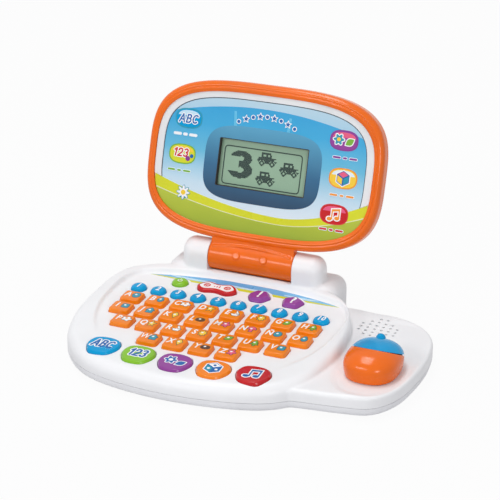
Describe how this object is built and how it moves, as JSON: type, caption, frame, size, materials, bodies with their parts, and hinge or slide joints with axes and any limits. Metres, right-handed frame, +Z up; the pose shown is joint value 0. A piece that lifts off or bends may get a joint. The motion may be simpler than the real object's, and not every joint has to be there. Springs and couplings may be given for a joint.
{
  "type": "toy laptop computer",
  "caption": "Toy laptop: screen lid on a hinge barrel, sunk deck of sprung letter and number keys, activity buttons, and a sliding mouse with a rocking button on a side pad.",
  "frame": {"origin": "middle of the bounding box in plan, at the height of the table the feet stand on, with the lid open as pictured", "axes": "+X to the right along the key rows towards the mouse pad, +Y from the user towards the lid, +Z up"},
  "size_m": [0.2608, 0.2102, 0.168],
  "materials": {
    "white_shell": "satin white",
    "grey_shell": "fine matte pale grey",
    "orange": "gloss orange",
    "key_orange": "gloss bright orange",
    "blue": "gloss blue",
    "green": "gloss green",
    "purple": "gloss purple",
    "red": "gloss red",
    "panel": "printed sheet, gloss",
    "display": "grey-green liquid crystal panel",
    "board": "green circuit board laminate",
    "rubber": "moulded silicone sheet",
    "speaker": "black",
    "steel": "plain drawn rod"
  },
  "bodies": {
    "base": {"base_bottom_shell": "grey_shell", "base_top_shell": "white_shell", "battery_cover": "grey_shell", "circuit_board": "board", "key_membrane": "rubber", "speaker": "speaker"},
    "lid": {"lid_front_frame": "orange", "lid_back_shell": "orange", "screen_panel": "panel", "display_module": "display", "hinge_pin": "steel"},
    "mouse_carriage": {"mouse_carriage": "grey_shell"},
    "mouse_body": {"mouse_body": "orange"},
    "mouse_button": {"mouse_button": "blue"},
    "key_a": {"key_a": "key_orange"},
    "key_b": {"key_b": "key_orange"},
    "key_c": {"key_c": "key_orange"},
    "key_d": {"key_d": "key_orange"},
    "key_e": {"key_e": "key_orange"},
    "key_f": {"key_f": "key_orange"},
    "key_g": {"key_g": "key_orange"},
    "key_h": {"key_h": "key_orange"},
    "key_i": {"key_i": "key_orange"},
    "key_j": {"key_j": "key_orange"},
    "key_k": {"key_k": "key_orange"},
    "key_l": {"key_l": "key_orange"},
    "key_m": {"key_m": "key_orange"},
    "key_n": {"key_n": "key_orange"},
    "key_enye": {"key_enye": "key_orange"},
    "key_o": {"key_o": "key_orange"},
    "key_p": {"key_p": "key_orange"},
    "key_q": {"key_q": "key_orange"},
    "key_r": {"key_r": "key_orange"},
    "key_s": {"key_s": "key_orange"},
    "key_t": {"key_t": "key_orange"},
    "key_u": {"key_u": "key_orange"},
    "key_v": {"key_v": "key_orange"},
    "key_w": {"key_w": "key_orange"},
    "key_x": {"key_x": "key_orange"},
    "key_y": {"key_y": "key_orange"},
    "key_z": {"key_z": "key_orange"},
    "key_1": {"key_1": "blue"},
    "key_2": {"key_2": "blue"},
    "key_3": {"key_3": "blue"},
    "key_4": {"key_4": "blue"},
    "key_5": {"key_5": "blue"},
    "key_6": {"key_6": "blue"},
    "key_7": {"key_7": "blue"},
    "key_8": {"key_8": "blue"},
    "key_9": {"key_9": "blue"},
    "key_10": {"key_10": "blue"},
    "power_button": {"power_button": "green"},
    "melody_button": {"melody_button": "red"},
    "hint_button": {"hint_button": "purple"},
    "help_button": {"help_button": "purple"},
    "letters_button": {"letters_button": "blue"},
    "numbers_button": {"numbers_button": "green"},
    "nature_button": {"nature_button": "purple"},
    "puzzle_button": {"puzzle_button": "key_orange"},
    "music_button": {"music_button": "red"}
  },
  "joints": [
    {"name": "lid_hinge", "type": "hinge", "parent": "base", "child": "lid", "pos_m": [-0.02627, 0.05945, 0.04021], "axis": [1, 0, 0], "range_deg": [-5, 106]},
    {"name": "mouse_slide_x", "type": "slide", "parent": "base", "child": "mouse_carriage", "axis": [1, 0, 0], "range_m": [-0.004, 0.004]},
    {"name": "mouse_slide_y", "type": "slide", "parent": "mouse_carriage", "child": "mouse_body", "axis": [0, 1, 0], "range_m": [-0.004, 0.004]},
    {"name": "mouse_button_rock", "type": "hinge", "parent": "mouse_body", "child": "mouse_button", "pos_m": [0.10073, -0.03865, 0.03631], "axis": [-1, 0, 0], "range_deg": [0, 2.5], "stiffness_Nm_per_rad": 0.2, "springref_deg": -1.72},
    {"name": "key_a_press", "type": "slide", "parent": "base", "child": "key_a", "axis": [0, 0.035, -0.9994], "range_m": [0, 0.0018], "stiffness_N_per_m": 200, "springref_m": -0.001},
    {"name": "key_b_press", "type": "slide", "parent": "base", "child": "key_b", "axis": [0, 0.035, -0.9994], "range_m": [0, 0.0018], "stiffness_N_per_m": 200, "springref_m": -0.001},
    {"name": "key_c_press", "type": "slide", "parent": "base", "child": "key_c", "axis": [0, 0.035, -0.9994], "range_m": [0, 0.0018], "stiffness_N_per_m": 200, "springref_m": -0.001},
    {"name": "key_d_press", "type": "slide", "parent": "base", "child": "key_d", "axis": [0, 0.035, -0.9994], "range_m": [0, 0.0018], "stiffness_N_per_m": 200, "springref_m": -0.001},
    {"name": "key_e_press", "type": "slide", "parent": "base", "child": "key_e", "axis": [0, 0.035, -0.9994], "range_m": [0, 0.0018], "stiffness_N_per_m": 200, "springref_m": -0.001},
    {"name": "key_f_press", "type": "slide", "parent": "base", "child": "key_f", "axis": [0, 0.035, -0.9994], "range_m": [0, 0.0018], "stiffness_N_per_m": 200, "springref_m": -0.001},
    {"name": "key_g_press", "type": "slide", "parent": "base", "child": "key_g", "axis": [0, 0.035, -0.9994], "range_m": [0, 0.0018], "stiffness_N_per_m": 200, "springref_m": -0.001},
    {"name": "key_h_press", "type": "slide", "parent": "base", "child": "key_h", "axis": [0, 0.035, -0.9994], "range_m": [0, 0.0018], "stiffness_N_per_m": 200, "springref_m": -0.001},
    {"name": "key_i_press", "type": "slide", "parent": "base", "child": "key_i", "axis": [0, 0.035, -0.9994], "range_m": [0, 0.0018], "stiffness_N_per_m": 200, "springref_m": -0.001},
    {"name": "key_j_press", "type": "slide", "parent": "base", "child": "key_j", "axis": [0, 0.035, -0.9994], "range_m": [0, 0.0018], "stiffness_N_per_m": 200, "springref_m": -0.001},
    {"name": "key_k_press", "type": "slide", "parent": "base", "child": "key_k", "axis": [0, 0.035, -0.9994], "range_m": [0, 0.0018], "stiffness_N_per_m": 200, "springref_m": -0.001},
    {"name": "key_l_press", "type": "slide", "parent": "base", "child": "key_l", "axis": [0, 0.035, -0.9994], "range_m": [0, 0.0018], "stiffness_N_per_m": 200, "springref_m": -0.001},
    {"name": "key_m_press", "type": "slide", "parent": "base", "child": "key_m", "axis": [0, 0.035, -0.9994], "range_m": [0, 0.0018], "stiffness_N_per_m": 200, "springref_m": -0.001},
    {"name": "key_n_press", "type": "slide", "parent": "base", "child": "key_n", "axis": [0, 0.035, -0.9994], "range_m": [0, 0.0018], "stiffness_N_per_m": 200, "springref_m": -0.001},
    {"name": "key_enye_press", "type": "slide", "parent": "base", "child": "key_enye", "axis": [0, 0.035, -0.9994], "range_m": [0, 0.0018], "stiffness_N_per_m": 200, "springref_m": -0.001},
    {"name": "key_o_press", "type": "slide", "parent": "base", "child": "key_o", "axis": [0, 0.035, -0.9994], "range_m": [0, 0.0018], "stiffness_N_per_m": 200, "springref_m": -0.001},
    {"name": "key_p_press", "type": "slide", "parent": "base", "child": "key_p", "axis": [0, 0.035, -0.9994], "range_m": [0, 0.0018], "stiffness_N_per_m": 200, "springref_m": -0.001},
    {"name": "key_q_press", "type": "slide", "parent": "base", "child": "key_q", "axis": [0, 0.035, -0.9994], "range_m": [0, 0.0018], "stiffness_N_per_m": 200, "springref_m": -0.001},
    {"name": "key_r_press", "type": "slide", "parent": "base", "child": "key_r", "axis": [0, 0.035, -0.9994], "range_m": [0, 0.0018], "stiffness_N_per_m": 200, "springref_m": -0.001},
    {"name": "key_s_press", "type": "slide", "parent": "base", "child": "key_s", "axis": [0, 0.035, -0.9994], "range_m": [0, 0.0018], "stiffness_N_per_m": 200, "springref_m": -0.001},
    {"name": "key_t_press", "type": "slide", "parent": "base", "child": "key_t", "axis": [0, 0.035, -0.9994], "range_m": [0, 0.0018], "stiffness_N_per_m": 200, "springref_m": -0.001},
    {"name": "key_u_press", "type": "slide", "parent": "base", "child": "key_u", "axis": [0, 0.035, -0.9994], "range_m": [0, 0.0018], "stiffness_N_per_m": 200, "springref_m": -0.001},
    {"name": "key_v_press", "type": "slide", "parent": "base", "child": "key_v", "axis": [0, 0.035, -0.9994], "range_m": [0, 0.0018], "stiffness_N_per_m": 200, "springref_m": -0.001},
    {"name": "key_w_press", "type": "slide", "parent": "base", "child": "key_w", "axis": [0, 0.035, -0.9994], "range_m": [0, 0.0018], "stiffness_N_per_m": 200, "springref_m": -0.001},
    {"name": "key_x_press", "type": "slide", "parent": "base", "child": "key_x", "axis": [0, 0.035, -0.9994], "range_m": [0, 0.0018], "stiffness_N_per_m": 200, "springref_m": -0.001},
    {"name": "key_y_press", "type": "slide", "parent": "base", "child": "key_y", "axis": [0, 0.035, -0.9994], "range_m": [0, 0.0018], "stiffness_N_per_m": 200, "springref_m": -0.001},
    {"name": "key_z_press", "type": "slide", "parent": "base", "child": "key_z", "axis": [0, 0.035, -0.9994], "range_m": [0, 0.0018], "stiffness_N_per_m": 200, "springref_m": -0.001},
    {"name": "key_1_press", "type": "slide", "parent": "base", "child": "key_1", "axis": [0, 0.035, -0.9994], "range_m": [0, 0.0018], "stiffness_N_per_m": 200, "springref_m": -0.001},
    {"name": "key_2_press", "type": "slide", "parent": "base", "child": "key_2", "axis": [0, 0.035, -0.9994], "range_m": [0, 0.0018], "stiffness_N_per_m": 200, "springref_m": -0.001},
    {"name": "key_3_press", "type": "slide", "parent": "base", "child": "key_3", "axis": [0, 0.035, -0.9994], "range_m": [0, 0.0018], "stiffness_N_per_m": 200, "springref_m": -0.001},
    {"name": "key_4_press", "type": "slide", "parent": "base", "child": "key_4", "axis": [0, 0.035, -0.9994], "range_m": [0, 0.0018], "stiffness_N_per_m": 200, "springref_m": -0.001},
    {"name": "key_5_press", "type": "slide", "parent": "base", "child": "key_5", "axis": [0, 0.035, -0.9994], "range_m": [0, 0.0018], "stiffness_N_per_m": 200, "springref_m": -0.001},
    {"name": "key_6_press", "type": "slide", "parent": "base", "child": "key_6", "axis": [0, 0.035, -0.9994], "range_m": [0, 0.0018], "stiffness_N_per_m": 200, "springref_m": -0.001},
    {"name": "key_7_press", "type": "slide", "parent": "base", "child": "key_7", "axis": [0, 0.035, -0.9994], "range_m": [0, 0.0018], "stiffness_N_per_m": 200, "springref_m": -0.001},
    {"name": "key_8_press", "type": "slide", "parent": "base", "child": "key_8", "axis": [0, 0.035, -0.9994], "range_m": [0, 0.0018], "stiffness_N_per_m": 200, "springref_m": -0.001},
    {"name": "key_9_press", "type": "slide", "parent": "base", "child": "key_9", "axis": [0, 0.035, -0.9994], "range_m": [0, 0.0018], "stiffness_N_per_m": 200, "springref_m": -0.001},
    {"name": "key_10_press", "type": "slide", "parent": "base", "child": "key_10", "axis": [0, 0.035, -0.9994], "range_m": [0, 0.0018], "stiffness_N_per_m": 200, "springref_m": -0.001},
    {"name": "power_button_press", "type": "slide", "parent": "base", "child": "power_button", "axis": [0, 0.035, -0.9994], "range_m": [0, 0.0018], "stiffness_N_per_m": 200, "springref_m": -0.001},
    {"name": "melody_button_press", "type": "slide", "parent": "base", "child": "melody_button", "axis": [0, 0.035, -0.9994], "range_m": [0, 0.0018], "stiffness_N_per_m": 200, "springref_m": -0.001},
    {"name": "hint_button_press", "type": "slide", "parent": "base", "child": "hint_button", "axis": [0, 0.035, -0.9994], "range_m": [0, 0.0018], "stiffness_N_per_m": 200, "springref_m": -0.001},
    {"name": "help_button_press", "type": "slide", "parent": "base", "child": "help_button", "axis": [0, 0.035, -0.9994], "range_m": [0, 0.0018], "stiffness_N_per_m": 200, "springref_m": -0.001},
    {"name": "letters_button_press", "type": "slide", "parent": "base", "child": "letters_button", "axis": [0, 0.0698, -0.9976], "range_m": [0, 0.0018], "stiffness_N_per_m": 200, "springref_m": -0.001},
    {"name": "numbers_button_press", "type": "slide", "parent": "base", "child": "numbers_button", "axis": [0, 0.0698, -0.9976], "range_m": [0, 0.0018], "stiffness_N_per_m": 200, "springref_m": -0.001},
    {"name": "nature_button_press", "type": "slide", "parent": "base", "child": "nature_button", "axis": [0, 0.0698, -0.9976], "range_m": [0, 0.0018], "stiffness_N_per_m": 200, "springref_m": -0.001},
    {"name": "puzzle_button_press", "type": "slide", "parent": "base", "child": "puzzle_button", "axis": [0, 0.0698, -0.9976], "range_m": [0, 0.0018], "stiffness_N_per_m": 200, "springref_m": -0.001},
    {"name": "music_button_press", "type": "slide", "parent": "base", "child": "music_button", "axis": [0, 0.0698, -0.9976], "range_m": [0, 0.0018], "stiffness_N_per_m": 200, "springref_m": -0.001}
  ]
}
